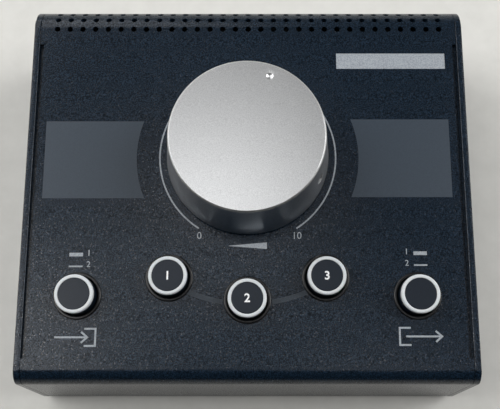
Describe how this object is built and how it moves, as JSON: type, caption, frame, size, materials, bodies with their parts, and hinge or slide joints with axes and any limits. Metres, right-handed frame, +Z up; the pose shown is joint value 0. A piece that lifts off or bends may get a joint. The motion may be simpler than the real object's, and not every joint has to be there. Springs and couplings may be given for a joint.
{
  "type": "studio monitor controller",
  "caption": "Desktop studio monitor controller: wedge-shaped steel case with a large turned volume knob, white-ringed push buttons and rear phone sockets.",
  "frame": {"origin": "on the table under the middle of the bounding box", "axes": "+X to the right, +Y from the front to the rear, +Z up"},
  "size_m": [0.15, 0.1376, 0.0672],
  "materials": {
    "case_paint": "blue-black powder coat",
    "side_paint": "blue-black powder coat",
    "knob_aluminium": "satin, turned",
    "hub_brass": "machined",
    "set_screw_steel": "black oxide",
    "shaft_steel": "turned",
    "control_can": "plated",
    "plated_nut": "nickel plate",
    "screw_steel": "black zinc",
    "cap_plastic": "moulded ABS",
    "ring_plastic": "moulded white ABS",
    "collar_plastic": "moulded black ABS",
    "switch_plastic": "moulded nylon",
    "plunger_plastic": "moulded acetal",
    "board_laminate": "green solder mask",
    "standoff_brass": "machined",
    "ribbon_vinyl": "grey PVC",
    "header_plastic": "moulded nylon",
    "jack_plastic": "moulded nylon",
    "foot_rubber": "moulded rubber"
  },
  "bodies": {
    "case": {"top_cover": "case_paint", "rear_panel": "case_paint", "base_plate": "case_paint", "left_side_plate": "side_paint", "right_side_plate": "side_paint", "rubber_feet": "foot_rubber", "base_screws": "screw_steel", "pot_bushing": "plated_nut", "pot_body": "control_can", "pot_washer": "plated_nut", "pot_nut": "plated_nut", "pot_terminals": "plated_nut", "main_board": "board_laminate", "jack_board": "board_laminate", "board_standoffs": "standoff_brass", "board_screws": "screw_steel", "ribbon_cable": "ribbon_vinyl", "ribbon_headers": "header_plastic", "jack_washers": "plated_nut", "jack_nuts": "plated_nut", "source_button_collar": "collar_plastic", "source_switch_body": "switch_plastic", "mono_button_collar": "collar_plastic", "mono_switch_body": "switch_plastic", "mute_button_collar": "collar_plastic", "mute_switch_body": "switch_plastic", "dim_button_collar": "collar_plastic", "dim_switch_body": "switch_plastic", "monitor_button_collar": "collar_plastic", "monitor_switch_body": "switch_plastic", "source_a_left_jack": "jack_plastic", "source_a_right_jack": "jack_plastic", "source_b_left_jack": "jack_plastic", "source_b_right_jack": "jack_plastic", "monitor_a_left_jack": "jack_plastic", "monitor_a_right_jack": "jack_plastic", "monitor_b_left_jack": "jack_plastic", "monitor_b_right_jack": "jack_plastic"},
    "volume": {"volume_knob": "knob_aluminium", "knob_hub": "hub_brass", "knob_set_screw": "set_screw_steel", "pot_shaft": "shaft_steel"},
    "source_button": {"source_button_cap": "cap_plastic", "source_button_ring": "ring_plastic", "source_switch_plunger": "plunger_plastic"},
    "mono_button": {"mono_button_cap": "cap_plastic", "mono_button_ring": "ring_plastic", "mono_switch_plunger": "plunger_plastic"},
    "mute_button": {"mute_button_cap": "cap_plastic", "mute_button_ring": "ring_plastic", "mute_switch_plunger": "plunger_plastic"},
    "dim_button": {"dim_button_cap": "cap_plastic", "dim_button_ring": "ring_plastic", "dim_switch_plunger": "plunger_plastic"},
    "monitor_button": {"monitor_button_cap": "cap_plastic", "monitor_button_ring": "ring_plastic", "monitor_switch_plunger": "plunger_plastic"}
  },
  "joints": [
    {"name": "volume_turn", "type": "hinge", "parent": "case", "child": "volume", "pos_m": [0, 0.0085, 0.0444], "axis": [0, -0.0523, 0.9986], "range_deg": [-129.7, 170.3]},
    {"name": "source_press", "type": "slide", "parent": "case", "child": "source_button", "axis": [0, -0.0523, 0.9986], "range_m": [-0.003, 0], "stiffness_N_per_m": 600, "springref_m": 0.0015},
    {"name": "mono_press", "type": "slide", "parent": "case", "child": "mono_button", "axis": [0, -0.0523, 0.9986], "range_m": [-0.003, 0], "stiffness_N_per_m": 600, "springref_m": 0.0015},
    {"name": "mute_press", "type": "slide", "parent": "case", "child": "mute_button", "axis": [0, -0.0523, 0.9986], "range_m": [-0.003, 0], "stiffness_N_per_m": 600, "springref_m": 0.0015},
    {"name": "dim_press", "type": "slide", "parent": "case", "child": "dim_button", "axis": [0, -0.0523, 0.9986], "range_m": [-0.003, 0], "stiffness_N_per_m": 600, "springref_m": 0.0015},
    {"name": "monitor_press", "type": "slide", "parent": "case", "child": "monitor_button", "axis": [0, -0.0523, 0.9986], "range_m": [-0.003, 0], "stiffness_N_per_m": 600, "springref_m": 0.0015}
  ]
}
